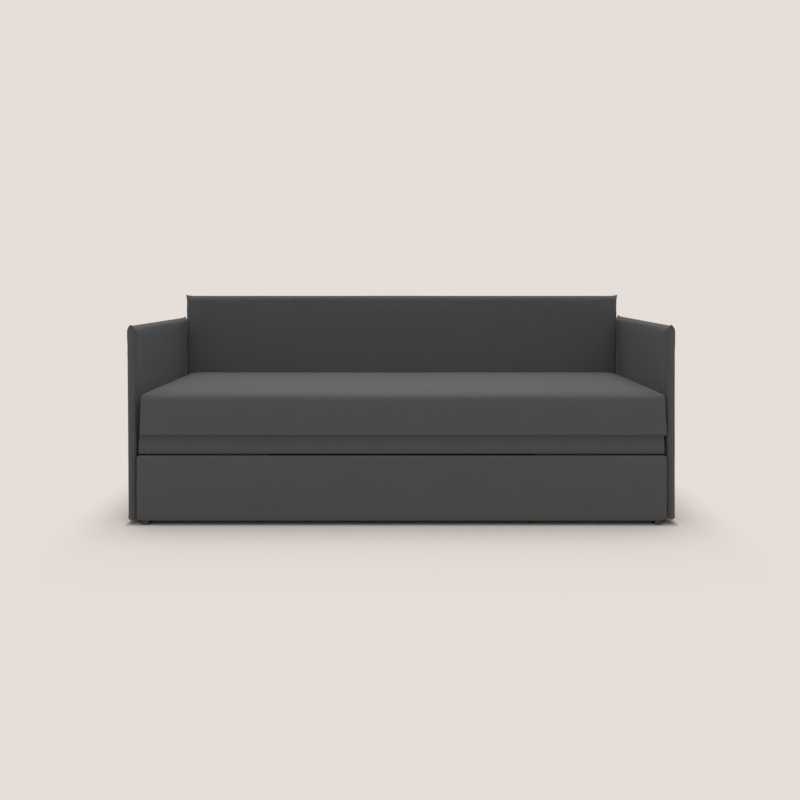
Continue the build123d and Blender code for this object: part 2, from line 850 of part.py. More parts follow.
# Guard rail, hanging on two hooks in the recess behind the back
guard_y = (back_rear + guard_gap, back_rear + guard_gap + guard_thickness)
guard_top = guard_bottom + guard_height
guard_peg_reach = guard_gap + band_thickness + guard_hole_setback
guard_foot_y = (guard_y[0], guard_y[1] + guard_peg_reach + guard_foot_margin)
guard_foot_z = (guard_bottom, guard_bottom + guard_foot_thickness)
low_bar_top = guard_top - guard_bar_spacing
bar_tops = (guard_top, low_bar_top)

with BuildPart() as guard_posts:
    for x in guard_places:
        reach = guard_post_width / 2
        block((x - reach, x + reach), guard_y, (guard_foot_z[1], guard_top))
save(guard_posts, "guard_posts")

with BuildPart() as guard_feet:
    for x in guard_places:
        reach = guard_post_width / 2
        block((x - reach, x + reach), guard_foot_y, guard_foot_z)
        start = (x, guard_y[1] + guard_peg_reach, guard_foot_z[1])
        rod(start, (0, 0, 1), guard_peg_height, guard_peg_radius)
save(guard_feet, "guard_feet")

with BuildPart() as guard_bars:
    for left, right in zip(guard_places, guard_places[1:]):
        for top in bar_tops:
            x = (left + guard_post_width / 2, right - guard_post_width / 2)
            block(x, guard_y, (top - guard_bar_height, top))
save(guard_bars, "guard_bars")

hook_top = low_bar_top - guard_bar_height - soft_gap
hook_front = guard_y[1] + guard_gap
hook_x = guard_post_x * hook_place_share
with BuildPart() as guard_hooks:
    for side in (-1, 1):
        x = (side * hook_x - hook_width / 2, side * hook_x + hook_width / 2)
        block(x, (back_rear, back_rear + hook_thickness), (hook_top - hook_plate_height, hook_top))
        block(x, (back_rear, hook_front + hook_thickness), (hook_top - hook_thickness, hook_top))
save(guard_hooks, "guard_hooks")

with BuildPart() as hook_lips:
    for side in (-1, 1):
        x = (side * hook_x - hook_width / 2, side * hook_x + hook_width / 2)
        block(x, (hook_front, hook_front + hook_thickness), (hook_top, hook_top + hook_lip))
save(hook_lips, "hook_lips")
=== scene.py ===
import json
import math

import bpy
import numpy as np
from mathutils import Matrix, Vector, noise


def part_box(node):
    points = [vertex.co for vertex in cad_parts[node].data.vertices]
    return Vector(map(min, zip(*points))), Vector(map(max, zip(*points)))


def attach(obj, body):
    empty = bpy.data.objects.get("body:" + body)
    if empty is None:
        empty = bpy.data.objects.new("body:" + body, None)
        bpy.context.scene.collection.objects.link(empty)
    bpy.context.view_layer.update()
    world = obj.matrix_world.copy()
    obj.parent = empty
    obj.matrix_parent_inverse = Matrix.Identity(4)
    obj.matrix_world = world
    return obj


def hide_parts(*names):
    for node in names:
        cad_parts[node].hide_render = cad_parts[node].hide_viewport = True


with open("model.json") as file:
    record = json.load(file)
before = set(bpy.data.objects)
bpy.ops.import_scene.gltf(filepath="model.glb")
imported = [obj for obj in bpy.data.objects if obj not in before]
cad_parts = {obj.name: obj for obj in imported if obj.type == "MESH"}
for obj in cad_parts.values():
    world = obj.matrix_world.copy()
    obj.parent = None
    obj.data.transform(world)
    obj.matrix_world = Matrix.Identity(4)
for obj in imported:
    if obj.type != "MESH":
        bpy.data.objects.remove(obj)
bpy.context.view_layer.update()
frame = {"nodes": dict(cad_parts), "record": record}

# All lengths are in metres, in the model's own frame.
MM = 0.001

# Camera: level, straight on, with the horizon above the middle of the picture
PICTURE_SIZE = 800
FOCAL_PX = 946
HORIZON_PX = 283.1
MIDDLE_PX = 401.7
CAMERA_PLACE = (0, -4.02, 0.9134)
SENSOR = 36

# Colours, as linear values
FABRIC_GREY = (0.066, 0.066, 0.067)
BACKDROP = (0.791, 0.730, 0.687)

# Fabric
THREAD_PITCH = 1.3 * MM
WEAVE_DEPTH = 0.12 * MM
# Noise scales of the slubs across and along a thread
SLUB_SCALES = (0.9 / THREAD_PITCH, 45)
SHEEN = 0.08
PANEL_STEP = 15 * MM
MATTRESS_STEP = 18 * MM

# How the covers settle over their padding
SETTLE_FRAMES = 16
SETTLE_PRESSURE = 3
PANEL_SLACK = 0.012
PANEL_SHIFT = 1.3 * MM
MATTRESS_SLACK = 0.01
MATTRESS_SHIFT = 2.5 * MM
COVER_CLOTH = {
    "quality": 4,
    "mass": 0.3,
    "tension_stiffness": 25,
    "compression_stiffness": 25,
    "shear_stiffness": 12,
    "bending_stiffness": 1.5,
    "use_pressure": True,
    "uniform_pressure_force": SETTLE_PRESSURE,
}


def clean_mesh(name, points, faces):
    """A smooth-shaded object made of the given points and faces."""
    mesh = bpy.data.meshes.new(name)
    mesh.from_pydata([tuple(point) for point in points], [], faces)
    mesh.validate()
    mesh.polygons.foreach_set("use_smooth", [True] * len(mesh.polygons))
    piece = bpy.data.objects.new(name, mesh)
    bpy.context.scene.collection.objects.link(piece)
    return piece


def subdivide(piece):
    """Rounds a piece with one level of subdivision."""
    modifier = piece.modifiers.new("Rounding", "SUBSURF")
    modifier.levels = 1
    modifier.render_levels = 1


def ruler(low, high, near, step):
    """Places along a side: the given distances in from each end, then even steps between."""
    ends = [distance for distance in near if 2 * distance < high - low]
    inner_low, inner_high = low + ends[-1], high - ends[-1]
    count = max(1, round((inner_high - inner_low) / step))
    middle = [inner_low + (inner_high - inner_low) * i / count for i in range(1, count)]
    return np.array([low + d for d in ends] + middle + [high - d for d in reversed(ends)])


def wander(point, size, seed):
    """Smooth noise between about -1 and 1 that changes over the given length."""
    return noise.noise(Vector(point) / size + Vector((seed, 2 * seed, 3 * seed)))


def settle_cover(piece, held, slack, cap):
    """Lets a cover settle over its padding as cloth, held at its seam, and keeps the result in its mesh."""
    rest = np.empty(3 * len(piece.data.vertices))
    piece.data.vertices.foreach_get("co", rest)
    group = piece.vertex_groups.new(name="seam")
    group.add(held, 1.0, "REPLACE")
    modifier = piece.modifiers.new("Cover", "CLOTH")
    cloth = modifier.settings
    for setting, value in COVER_CLOTH.items():
        setattr(cloth, setting, value)
    cloth.shrink_min = -slack
    cloth.vertex_group_mass = group.name
    cloth.effector_weights.gravity = 0
    modifier.collision_settings.use_collision = False
    modifier.point_cache.frame_end = SETTLE_FRAMES
    scene = bpy.context.scene
    for step in range(1, SETTLE_FRAMES + 1):
        scene.frame_set(step)
    settled = piece.evaluated_get(bpy.context.evaluated_depsgraph_get())
    moved = np.empty_like(rest)
    settled.data.vertices.foreach_get("co", moved)
    piece.modifiers.remove(modifier)
    piece.vertex_groups.remove(group)
    scene.frame_set(1)
    shift = (moved - rest).reshape(-1, 3)
    length = np.linalg.norm(shift, axis=1, keepdims=True) + 1e-9
    shift *= cap * np.tanh(length / cap) / length
    piece.data.vertices.foreach_set("co", (rest.reshape(-1, 3) + shift).ravel())
    piece.data.update()


def near(value, low, high):
    """Distance from a place to the nearer end of its side, and the direction inwards."""
    if value - low < high - value:
        return value - low, 1
    return high - value, -1


def smooth_least(a, b, width):
    """The lesser of two distances, rounded where they are alike."""
    overlap = max(width - abs(a - b), 0)
    return max(min(a, b) - overlap * overlap / (4 * width), 0)


def ear_dip(distance):
    """How far a side lies inside its corners' tips, at a distance from the nearer tip."""
    return EAR_RISE * (1 - math.exp(-((distance / EAR_LENGTH) ** 1.4)))


# Slim upholstered panels: two faces sewn together round their edge
EAR_RISE = 5.3 * MM
EAR_LENGTH = 17 * MM
SIDE_ROLL = 17 * MM
TOP_ROLL = 24 * MM
BOTTOM_ROLL = 5 * MM
SEAM_LIP = 1.5 * MM
SEAM_DEPTH = 2.2 * MM
SEAM_DISTANCES = [d * MM for d in (0, 0.7, 2, 4.5, 8, 12.5, 18, 25, 33, 44, 60)]
EDGE_BLEND = 0.4
PUCKER_SIZE = 11 * MM
SWELL_SIZE = 0.17
# Depths in millimetres
PUCKER_DEPTH = 0.5
SWELL_DEPTH = 0.35


def edge_share(part):
    """Share of the full thickness at a place inside the seam, given as a part of the roll's depth."""
    return 1 - (1 - min(part, 1)) ** 2


def knife_edge_panel(name, node, thin, seed, lean=0, lift=0, widen=0, drop=0):
    """A slim padded panel whose faces meet in a seam all round, with small ears at its corners."""
    low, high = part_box(node)
    wide = 1 - thin
    low[wide] -= widen
    high[wide] += widen
    low[2] -= drop
    middle = (low[thin] + high[thin]) / 2
    half = (high[thin] - low[thin]) / 2
    along = ruler(low[wide], high[wide], SEAM_DISTANCES, PANEL_STEP)
    up = ruler(low[2], high[2], SEAM_DISTANCES, PANEL_STEP)
    points, places = [], {}
    for side in (-1, 1):
        for i, u in enumerate(along):
            for j, v in enumerate(up):
                rim = i in (0, len(along) - 1) or j in (0, len(up) - 1)
                if rim and (i, j) in places:
                    continue
                du, inwards_u = near(u, low[wide], high[wide])
                dv, inwards_v = near(v, low[2], high[2])
                part_u = du / SIDE_ROLL
                part_v = dv / (BOTTOM_ROLL if inwards_v > 0 else TOP_ROLL)
                inside = smooth_least(part_u, part_v, EDGE_BLEND)
                flat = (u, v, 40 * side)
                thick = 0
                if not rim:
                    thick = max(half * edge_share(inside), SEAM_LIP)
                    pucker = math.exp(-inside) * wander(flat, PUCKER_SIZE, seed)
                    swell = wander(flat, SWELL_SIZE, seed)
                    thick += (PUCKER_DEPTH * pucker + SWELL_DEPTH * swell - SWELL_DEPTH) * MM
                place = [0, 0, 0]
                shift_u = ear_dip(dv) * (1 - edge_share(part_u))
                shift_v = ear_dip(du) * (1 - edge_share(part_v))
                shift_u += SEAM_DEPTH if du == 0 else 0
                shift_v += SEAM_DEPTH if dv == 0 else 0
                place[wide] = u + inwards_u * shift_u
                place[2] = v + inwards_v * shift_v
                place[thin] = middle + side * min(thick, half)
                # The tops of two panels that are pushed together aren't quite straight
                height_part = (v - low[2]) / (high[2] - low[2])
                place[thin] += lean * height_part * (high[wide] - u) / (high[wide] - low[wide])
                place[2] += lift * height_part * (u - low[wide]) / (high[wide] - low[wide])
                places[(i, j) if rim else (i, j, side)] = len(points)
                points.append(place)
    faces = []
    for side in (-1, 1):
        for i in range(len(along) - 1):
            for j in range(len(up) - 1):
                ring = [(i, j), (i + 1, j), (i + 1, j + 1), (i, j + 1)]
                ring = [places[key] if key in places else places[key + (side,)] for key in ring]
                faces.append(tuple(ring[:: side if thin == 0 else -side]))
    piece = clean_mesh(name, points, faces)
    last = (len(along) - 2, len(up) - 2)
    seam = [
        number for key, number in places.items()
        if len(key) == 2 or key[0] in (1, last[0]) or key[1] in (1, last[1])
    ]
    settle_cover(piece, seam, PANEL_SLACK, PANEL_SHIFT)
    subdivide(piece)
    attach(piece, "base")
    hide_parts(node)
    return piece


# Mattresses: how far the side lies inside the outline at each share of the height
SIDE_LEVELS = (
    0, 0.012, 0.03, 0.055, 0.085, 0.12, 0.16, 0.22, 0.29, 0.37, 0.46, 0.55, 0.64, 0.72, 0.79, 0.85, 0.9,
    0.933, 0.96, 0.98, 0.993, 1,
)
SIDE_INSETS = (
    0.13, 0.04, 0.01, 0, 0, 0, 0, 0, 0.01, 0.02, 0.03, 0.04, 0.06, 0.08, 0.11, 0.15, 0.21,
    0.3, 0.43, 0.6, 0.79, 1,
)
MATTRESS_ROLL = 26 * MM
MATTRESS_END_ROLL = 8 * MM
MATTRESS_CORNER = 9 * MM
CROWN_REACH = 220 * MM
REAR_CROWN_REACH = 22 * MM
REAR_ROLL_SHARE = 0.5
END_ROLL_SHARE = 0.45
END_ROLL_REACH = 70 * MM
END_CROWN_REACH = 110 * MM
CROWN_BLEND = 0.5
# The front of the underside is drawn up over the band
LIP_RISE = 10 * MM
LIP_REACH = 30 * MM
# The surface rises and falls a little, most near the underside
LUMP_SIZE = 0.22
LOW_LUMP = 1.6 * MM
LUMP = 0.8 * MM
LOW_LEVELS = 5
MATTRESS_DISTANCES = [d * MM for d in (0, 2.5, 6, 11, 17, 24, 34, 50)]


def round_corner(x, y, box, radius):
    """Moves a place of a rectangle so that the rectangle's corners become round."""
    du, inwards_u = near(x, box[0], box[1])
    dv, inwards_v = near(y, box[2], box[3])
    if du >= radius or dv >= radius:
        return x, y
    a, b = 1 - du / radius, 1 - dv / radius
    return (
        x + inwards_u * radius * (a - a * math.sqrt(1 - b * b / 2)),
        y + inwards_v * radius * (b - b * math.sqrt(1 - a * a / 2)),
    )


def mattress(name, node, body, crown, slack, seed):
    """A mattress with a crowned top, rounded edges and sides that draw in between them."""
    low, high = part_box(node)
    height = high[2] - low[2] - crown
    spans = (low[0] + slack[0], high[0] - slack[1], low[1] + MM, high[1] - MM)
    across = ruler(spans[0], spans[1], MATTRESS_DISTANCES, MATTRESS_STEP)
    deep = ruler(spans[2], spans[3], MATTRESS_DISTANCES, MATTRESS_STEP)
    points, places, faces = [], {}, []

    def add(key, i, j, level):
        if key in places:
            return
        # The front edge is crisper near its ends
        part = min(near(across[i], spans[0], spans[1])[0] / END_ROLL_REACH, 1)
        front_share = END_ROLL_SHARE + (1 - END_ROLL_SHARE) * math.sin(0.5 * math.pi * part)
        inset = front_share * MATTRESS_ROLL * SIDE_INSETS[level]
        rear_inset = REAR_ROLL_SHARE * MATTRESS_ROLL * SIDE_INSETS[level]
        end_inset = MATTRESS_END_ROLL * SIDE_INSETS[level]
        x = spans[0] + end_inset + (across[i] - spans[0]) * (1 - 2 * end_inset / (spans[1] - spans[0]))
        y = spans[2] + inset + (deep[j] - spans[2]) * (1 - (inset + rear_inset) / (spans[3] - spans[2]))
        box = (spans[0] + end_inset, spans[1] - end_inset, spans[2] + inset, spans[3] - rear_inset)
        x, y = round_corner(x, y, box, MATTRESS_CORNER + end_inset / 2)
        rise = LIP_RISE * max(0, 1 - (y - spans[2]) / LIP_REACH) if body == "upper_bed" else 0
        z = low[2] + rise + (height - rise) * SIDE_LEVELS[level]
        if level == len(SIDE_LEVELS) - 1:
            part_u = near(x, box[0], box[1])[0] / END_CROWN_REACH
            part_v = min((y - box[2]) / CROWN_REACH, (box[3] - y) / REAR_CROWN_REACH)
            rise = math.sqrt(1 - (1 - min(smooth_least(part_u, max(part_v, 0), CROWN_BLEND), 1)) ** 2)
            z += crown * rise
        place = Vector((x, y, z))
        lump = (LOW_LUMP if level < LOW_LEVELS else LUMP) * wander(place, LUMP_SIZE, seed) if level else 0
        points.append(place + Vector((0, 0, min(lump, high[2] - z))))
        places[key] = len(points) - 1

    last_i, last_j, top = len(across) - 1, len(deep) - 1, len(SIDE_LEVELS) - 1
    border = [(i, 0) for i in range(last_i)] + [(last_i, j) for j in range(last_j)]
    border += [(i, last_j) for i in range(last_i, 0, -1)] + [(0, j) for j in range(last_j, 0, -1)]
    for level in range(top + 1):
        for i, j in border:
            add((i, j, level), i, j, level)
    for level in (0, top):
        for i in range(last_i + 1):
            for j in range(last_j + 1):
                add((i, j, level), i, j, level)
        for i in range(last_i):
            for j in range(last_j):
                ring = [(i, j), (i + 1, j), (i + 1, j + 1), (i, j + 1)]
                ring = [places[key + (level,)] for key in ring]
                faces.append(tuple(ring if level else ring[::-1]))
    for level in range(top):
        for one, other in zip(border, border[1:] + border[:1]):
            ring = [one + (level,), other + (level,), other + (level + 1,), one + (level + 1,)]
            faces.append(tuple(places[key] for key in ring))
    piece = clean_mesh(name, points, faces)
    flat_bottom = [number for key, number in places.items() if key[2] < 2]
    settle_cover(piece, flat_bottom, MATTRESS_SLACK, MATTRESS_SHIFT)
    subdivide(piece)
    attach(piece, body)
    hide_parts(node)
    return piece


# Band: how far its face lies inside the outline at each share of its height
BAND_LEVELS = (0, 0.015, 0.045, 0.1, 0.3, 0.45, 0.6, 0.72, 0.82, 0.91, 1)
BAND_INSETS = (0.24, 0.1, 0.02, 0, 0, 0.05, 0.16, 0.3, 0.45, 0.6, 0.7)
BAND_REAR_LEVELS = (1, 0.92, 0.5, 0.08, 0)
BAND_REAR_EDGE = 0.9
BAND_CORNER = 12 * MM
BAND_CORNER_STEPS = 6
BAND_CORNER_FILL = 0.6
BAND_DROP = MM
BAND_TUCK = 11 * MM
# The stretched fabric of the band and the front panel isn't quite flat
SKIN_WAVE = 0.5 * MM
BAND_WAVE_SIZE = 0.12
FRONT_WAVE_SIZE = 0.2


def band_wrap():
    """The slim upholstered band that wraps the front and both ends of the bed frame."""
    low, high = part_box("band_front_cover")
    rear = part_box("band_end_cover_left")[1][1]
    thick = high[1] - low[1]
    section = []
    # The face runs up behind the mattress's lower edge
    bottom, top = low[2] - BAND_DROP, high[2] + BAND_TUCK
    for level, inset in zip(BAND_LEVELS, BAND_INSETS):
        section.append((thick * inset, bottom + (top - bottom) * level))
    for level in BAND_REAR_LEVELS:
        share = BAND_REAR_EDGE if level in (0, 1) else 1
        section.append((thick * share, bottom + (top - bottom) * level))
    radius = BAND_CORNER
    path = []
    for y in np.linspace(rear, low[1] + radius, 26)[:-1]:
        path.append((low[0], y, 1, 0))
    for step in range(BAND_CORNER_STEPS + 1):
        turn = 0.5 * math.pi * step / BAND_CORNER_STEPS
        # The padding is fuller over the frame's corner
        depth = 1 - BAND_CORNER_FILL * math.sin(2 * turn)
        path.append(
            (
                low[0] + radius - radius * math.cos(turn),
                low[1] + radius - radius * math.sin(turn),
                depth * math.cos(turn),
                depth * math.sin(turn),
            )
        )
    for x in np.linspace(low[0] + radius, 0, 31)[1:]:
        path.append((x, low[1], 0, 1))
    path += [(-x, y, -inwards_x, inwards_y) for x, y, inwards_x, inwards_y in path[-2::-1]]
    points, faces = [], []
    for x, y, inwards_x, inwards_y in path:
        for inset, z in section:
            wave = SKIN_WAVE * (1 + wander((x, y, z), BAND_WAVE_SIZE, 5)) * (inset < thick / 2)
            points.append((x + inwards_x * (inset + wave), y + inwards_y * (inset + wave), z))
    size = len(section)
    for i in range(len(path) - 1):
        for j in range(size):
            following = (j + 1) % size
            here, ahead = i * size, (i + 1) * size
            faces.append((here + j, ahead + j, ahead + following, here + following))
    faces.append(tuple(range(size)))
    faces.append(tuple(range(len(points) - 1, len(points) - size - 1, -1)))
    piece = clean_mesh("band_wrap", points, faces)
    subdivide(piece)
    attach(piece, "upper_bed")
    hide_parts("band_front_cover", "band_end_cover_left", "band_end_cover_right")
    return piece


# Front panel: distance inside the outline in millimetres and share of the depth of each ring, from the
# rear edge to the flat front
FRONT_RINGS = [
    (2, 1), (0.6, 0.97), (0, 0.8), (0, 0.5), (0, 0.3), (0.3, 0.16), (1, 0.08), (2.2, 0.045),
    (4, 0.05), (7, 0.035), (13, 0.02), (22, 0.008), (34, 0),
]
FRONT_DISTANCES = [d * MM for d in (0, 3, 7, 12, 18, 26, 40)]
FRONT_STEPS = (32 * MM, 28 * MM)
FRONT_RISE = 2 * MM
LOWER_CORNER = 20 * MM
UPPER_CORNER = 7 * MM


def front_panel():
    """The front panel's padded cover: a flat face with softly rolled edges and rounded lower corners."""
    low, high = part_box("front_panel_cover")
    spans = (low[0], high[0], low[2], high[2] + FRONT_RISE)
    depth = high[1] - low[1]
    along = ruler(0, spans[1] - spans[0], FRONT_DISTANCES, FRONT_STEPS[0])
    up = ruler(0, spans[3] - spans[2], FRONT_DISTANCES, FRONT_STEPS[1])
    last_i, last_j = len(along) - 1, len(up) - 1
    border = [(i, 0) for i in range(last_i)] + [(last_i, j) for j in range(last_j)]
    border += [(i, last_j) for i in range(last_i, 0, -1)] + [(0, j) for j in range(last_j, 0, -1)]
    points, faces, places = [], [], {}

    def add(key, i, j, inset, y):
        width, height = spans[1] - spans[0], spans[3] - spans[2]
        x = spans[0] + inset + along[i] * (1 - 2 * inset / width)
        z = spans[2] + inset + up[j] * (1 - 2 * inset / height)
        box = (spans[0] + inset, spans[1] - inset, spans[2] + inset, spans[3] - inset)
        radius = (LOWER_CORNER if z < (spans[2] + spans[3]) / 2 else UPPER_CORNER) + inset / 3
        x, z = round_corner(x, z, box, radius)
        dip = SKIN_WAVE * (1 + wander((x, 0, z), FRONT_WAVE_SIZE, 9)) if y < low[1] + depth / 2 else 0
        places[key] = len(points)
        points.append((x, y + dip, z))

    for number, (inset, share) in enumerate(FRONT_RINGS):
        for i, j in border:
            add((i, j, number), i, j, inset * MM, low[1] + depth * share)
    last_ring = len(FRONT_RINGS) - 1
    for number, (inset, share) in ((0, FRONT_RINGS[0]), (last_ring, FRONT_RINGS[-1])):
        for i in range(last_i + 1):
            for j in range(last_j + 1):
                if (i, j, number) not in places:
                    add((i, j, number), i, j, inset * MM, low[1] + depth * share)
        for i in range(last_i):
            for j in range(last_j):
                ring = [(i, j), (i + 1, j), (i + 1, j + 1), (i, j + 1)]
                ring = [places[key + (number,)] for key in ring]
                faces.append(tuple(ring if number else ring[::-1]))
    for number in range(last_ring):
        for one, other in zip(border, border[1:] + border[:1]):
            ring = [one + (number,), other + (number,), other + (number + 1,), one + (number + 1,)]
            faces.append(tuple(places[key] for key in ring))
    piece = clean_mesh("front_panel_fabric", points, faces)
    subdivide(piece)
    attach(piece, "base")
    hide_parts("front_panel_cover")
    return piece


class Nodes:
    """Short calls for building a node material."""

    def __init__(self, name):
        self.material = bpy.data.materials.new(name)
        self.material.use_nodes = True
        self.tree = self.material.node_tree
        self.shader = self.tree.nodes["Principled BSDF"]

    def put(self, socket, value):
        if isinstance(value, bpy.types.NodeSocket):
            self.tree.links.new(value, socket)
        else:
            socket.default_value = value

    def node(self, kind, inputs=(), **settings):
        made = self.tree.nodes.new(kind)
        for key, value in settings.items():
            setattr(made, key, value)
        for key, value in dict(inputs).items():
            self.put(made.inputs[key], value)
        return made

    def math(self, operation, *values):
        made = self.node("ShaderNodeMath", operation=operation)
        for socket, value in zip(made.inputs, values):
            self.put(socket, value)
        return made.outputs[0]

    def noise(self, vector, scale, detail=3.0, roughness=0.5):
        inputs = {"Vector": vector, "Scale": scale, "Detail": detail, "Roughness": roughness}
        return self.node("ShaderNodeTexNoise", inputs).outputs["Fac"]

    def span(self, value, low, high, to_low, to_high):
        made = self.node("ShaderNodeMapRange")
        for socket, number in zip(made.inputs, (value, low, high, to_low, to_high)):
            self.put(socket, number)
        return made.outputs[0]

    def tint(self, colour, factor):
        """A colour made darker or lighter by a factor."""
        made = self.node("ShaderNodeVectorMath", operation="SCALE")
        self.put(made.inputs[0], colour)
        self.put(made.inputs["Scale"], factor)
        return made.outputs[0]

    def stretch(self, vector, factors):
        made = self.node("ShaderNodeVectorMath", operation="MULTIPLY")
        self.put(made.inputs[0], vector)
        self.put(made.inputs[1], factors)
        return made.outputs[0]

    def finish(self, colour, roughness, height, distance, strength, **sockets):
        bump = self.node(
            "ShaderNodeBump", {"Height": height, "Distance": distance, "Strength": strength}
        )
        self.put(self.shader.inputs["Normal"], bump.outputs[0])
        self.put(self.shader.inputs["Base Color"], colour)
        self.put(self.shader.inputs["Roughness"], roughness)
        for name, value in sockets.items():
            self.shader.inputs[name.replace("_", " ")].default_value = value
        return self.material


def fabric(name, colour, sheen):
    """Woven upholstery: crossing threads, slubs along them, soft shading and a little sheen."""
    mat = Nodes(name)
    coordinates = mat.node("ShaderNodeTexCoord")
    place = coordinates.outputs["Object"]
    x, y, z = mat.node("ShaderNodeSeparateXYZ", {0: place}).outputs
    turned = mat.node("ShaderNodeVectorMath", {0: coordinates.outputs["Normal"]}, operation="ABSOLUTE")
    face_x, face_y, face_z = mat.node("ShaderNodeSeparateXYZ", {0: turned.outputs[0]}).outputs
    sideways = mat.math("GREATER_THAN", face_x, mat.math("MAXIMUM", face_y, face_z))
    upwards = mat.math("GREATER_THAN", face_z, mat.math("MAXIMUM", face_x, face_y))
    u = mat.node("ShaderNodeMix", {"Factor": sideways, "A": x, "B": y}).outputs[0]
    v = mat.node("ShaderNodeMix", {"Factor": upwards, "A": z, "B": y}).outputs[0]
    wave_u = mat.math("SINE", mat.math("MULTIPLY", u, math.pi / THREAD_PITCH))
    wave_v = mat.math("SINE", mat.math("MULTIPLY", v, math.pi / THREAD_PITCH))
    thread_u, thread_v = mat.math("ABSOLUTE", wave_u), mat.math("ABSOLUTE", wave_v)
    over = mat.math("GREATER_THAN", mat.math("MULTIPLY", wave_u, wave_v), 0.0)
    warp = mat.math("MULTIPLY", thread_u, mat.math("MULTIPLY_ADD", thread_v, 0.4, 0.6))
    weft = mat.math("MULTIPLY", thread_v, mat.math("MULTIPLY_ADD", thread_u, 0.4, 0.6))
    weave = mat.node("ShaderNodeMix", {"Factor": over, "A": weft, "B": warp}).outputs[0]
    flat = mat.node("ShaderNodeCombineXYZ", {0: u, 1: v}).outputs[0]
    slub_u = mat.noise(mat.stretch(flat, (*SLUB_SCALES, 0)), 1.0, 2.0)
    slub_v = mat.noise(mat.stretch(flat, (*SLUB_SCALES[::-1], 0)), 1.0, 2.0)
    slub = mat.node("ShaderNodeMix", {"Factor": over, "A": slub_v, "B": slub_u}).outputs[0]
    fuzz = mat.noise(place, 2600.0, 2.0)
    cloud = mat.noise(place, 7.0, 4.0)
    shade = mat.span(weave, 0, 1, 0.72, 1.12)
    shade = mat.math("MULTIPLY", shade, mat.span(slub, 0.3, 0.7, 0.86, 1.14))
    shade = mat.math("MULTIPLY", shade, mat.span(fuzz, 0.3, 0.7, 0.94, 1.06))
    shade = mat.math("MULTIPLY", shade, mat.span(cloud, 0.3, 0.7, 0.97, 1.03))
    height = mat.math("ADD", weave, mat.math("MULTIPLY", mat.math("ADD", slub, fuzz), 0.35))
    rough = mat.span(cloud, 0.3, 0.7, 0.9, 1.0)
    return mat.finish(
        mat.tint(colour, shade), rough, height, WEAVE_DEPTH, 0.7,
        Sheen_Weight=sheen, Sheen_Roughness=0.45, Specular_IOR_Level=0.2,
    )


def coated_steel(name, colour):
    """Powder-coated steel tube: a fine pebbled film with faint rubbed patches."""
    mat = Nodes(name)
    place = mat.node("ShaderNodeTexCoord").outputs["Object"]
    pebble = mat.noise(place, 900.0, 2.0)
    cloud = mat.noise(place, 14.0, 5.0)
    rubbed = mat.span(mat.noise(place, 60.0, 6.0, 0.7), 0.58, 0.72, 0, 1)
    shade = mat.math("MULTIPLY", mat.span(cloud, 0.3, 0.7, 0.9, 1.1), mat.span(rubbed, 0, 1, 1, 1.25))
    rough = mat.math("SUBTRACT", mat.span(cloud, 0.3, 0.7, 0.42, 0.55), mat.math("MULTIPLY", rubbed, 0.1))
    return mat.finish(mat.tint(colour, shade), rough, pebble, 0.08 * MM, 0.6)


def bright_steel(name, colour):
    """Zinc-plated steel with fine turning marks and dull spots."""
    mat = Nodes(name)
    place = mat.node("ShaderNodeTexCoord").outputs["Object"]
    marks = mat.noise(mat.stretch(place, (1, 1, 30)), 300.0, 3.0)
    spots = mat.noise(place, 120.0, 4.0, 0.6)
    shade = mat.span(spots, 0.3, 0.7, 0.82, 1.08)
    rough = mat.span(mat.math("ADD", marks, spots), 0.6, 1.4, 0.22, 0.46)
    return mat.finish(mat.tint(colour, shade), rough, marks, 0.03 * MM, 0.5, Metallic=1.0)


def wood(name, colour, along, ring_scale):
    """Planed wood with growth rings drawn out along one axis, pores and a satin finish."""
    mat = Nodes(name)
    place = mat.node("ShaderNodeTexCoord").outputs["Object"]
    factors = [1.0, 1.0, 1.0]
    factors[along] = 0.06
    drawn = mat.stretch(place, factors)
    rings = mat.noise(drawn, ring_scale, 6.0, 0.62)
    lines = mat.math("ABSOLUTE", mat.math("SINE", mat.math("MULTIPLY", rings, 38.0)))
    pores = mat.noise(drawn, 1400.0, 2.0)
    shade = mat.math("MULTIPLY", mat.span(lines, 0, 1, 0.8, 1.05), mat.span(pores, 0.35, 0.6, 0.85, 1.03))
    shade = mat.math("MULTIPLY", shade, mat.span(mat.noise(place, 3.0), 0.3, 0.7, 0.92, 1.08))
    height = mat.math("ADD", lines, pores)
    return mat.finish(mat.tint(colour, shade), mat.span(lines, 0, 1, 0.6, 0.48), height, 0.08 * MM, 0.5)


def moulded(name, colour, grain, rough_low, rough_high):
    """Moulded plastic or rubber with a fine grain and scuffed, duller patches."""
    mat = Nodes(name)
    place = mat.node("ShaderNodeTexCoord").outputs["Object"]
    fine = mat.noise(place, grain, 3.0)
    scuff = mat.noise(place, 90.0, 5.0, 0.65)
    shade = mat.span(scuff, 0.35, 0.7, 0.9, 1.3)
    return mat.finish(
        mat.tint(colour, shade), mat.span(scuff, 0.3, 0.7, rough_low, rough_high), fine, 0.06 * MM, 0.6
    )


FINISHES = {
    "cover_fabric": fabric("cover_weave", FABRIC_GREY, SHEEN),
    "mattress_fabric": fabric("mattress_weave", FABRIC_GREY, SHEEN),
    "board_wood": wood("board_grain", (0.38, 0.24, 0.12), 0, 26.0),
    "slat_wood": wood("slat_grain", (0.56, 0.38, 0.2), 1, 34.0),
    "frame_steel": coated_steel("frame_coat", (0.04, 0.04, 0.042)),
    "bright_steel": bright_steel("zinc_plate", (0.6, 0.6, 0.58)),
    "black_plastic": moulded("foot_plastic", (0.016, 0.015, 0.014), 1500.0, 0.45, 0.65),
    "bumper_rubber": moulded("bumper_rubber", (0.02, 0.02, 0.02), 900.0, 0.7, 0.9),
}


